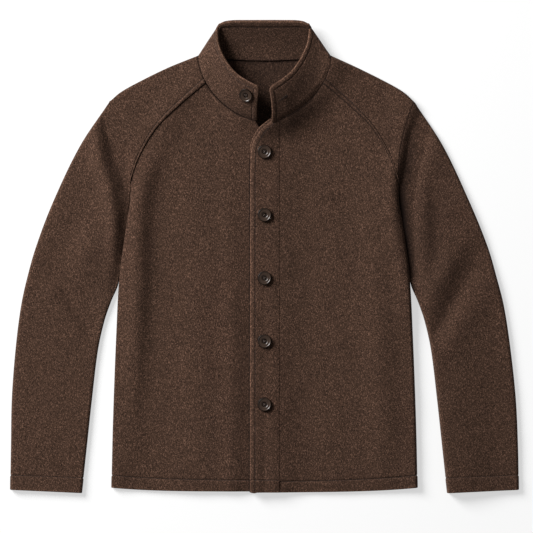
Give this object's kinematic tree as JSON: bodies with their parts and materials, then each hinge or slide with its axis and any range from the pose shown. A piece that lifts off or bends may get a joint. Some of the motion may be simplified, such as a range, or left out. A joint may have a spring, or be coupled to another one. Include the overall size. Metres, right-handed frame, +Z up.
{
  "type": "stand-collar cardigan jacket",
  "caption": "Boiled-wool cardigan jacket with stand collar, raglan-seamed shoulders and a buttoned front, laid flat.",
  "frame": {"origin": "middle of the garment's bounding rectangle, on the surface it lies on", "axes": "+X to the wearer's left, across the width from cuff to cuff; +Y from the hem to the collar; +Z up from the surface through the front"},
  "size_m": [0.8138, 0.757, 0.0408],
  "materials": {
    "wool_felt": "heathered dark brown boiled wool, matte with a short nap",
    "button": "polished dark brown horn look"
  },
  "bodies": {
    "root": {"back": "wool_felt", "front_right": "wool_felt", "front_left": "wool_felt", "button_band": "wool_felt", "shoulder_right": "wool_felt", "shoulder_left": "wool_felt", "sleeve_right": "wool_felt", "sleeve_left": "wool_felt", "collar": "wool_felt", "collar_facing": "wool_felt", "button_1": "button", "button_2": "button", "button_3": "button", "button_4": "button", "button_5": "button", "button_collar": "button"}
  },
  "joints": []
}
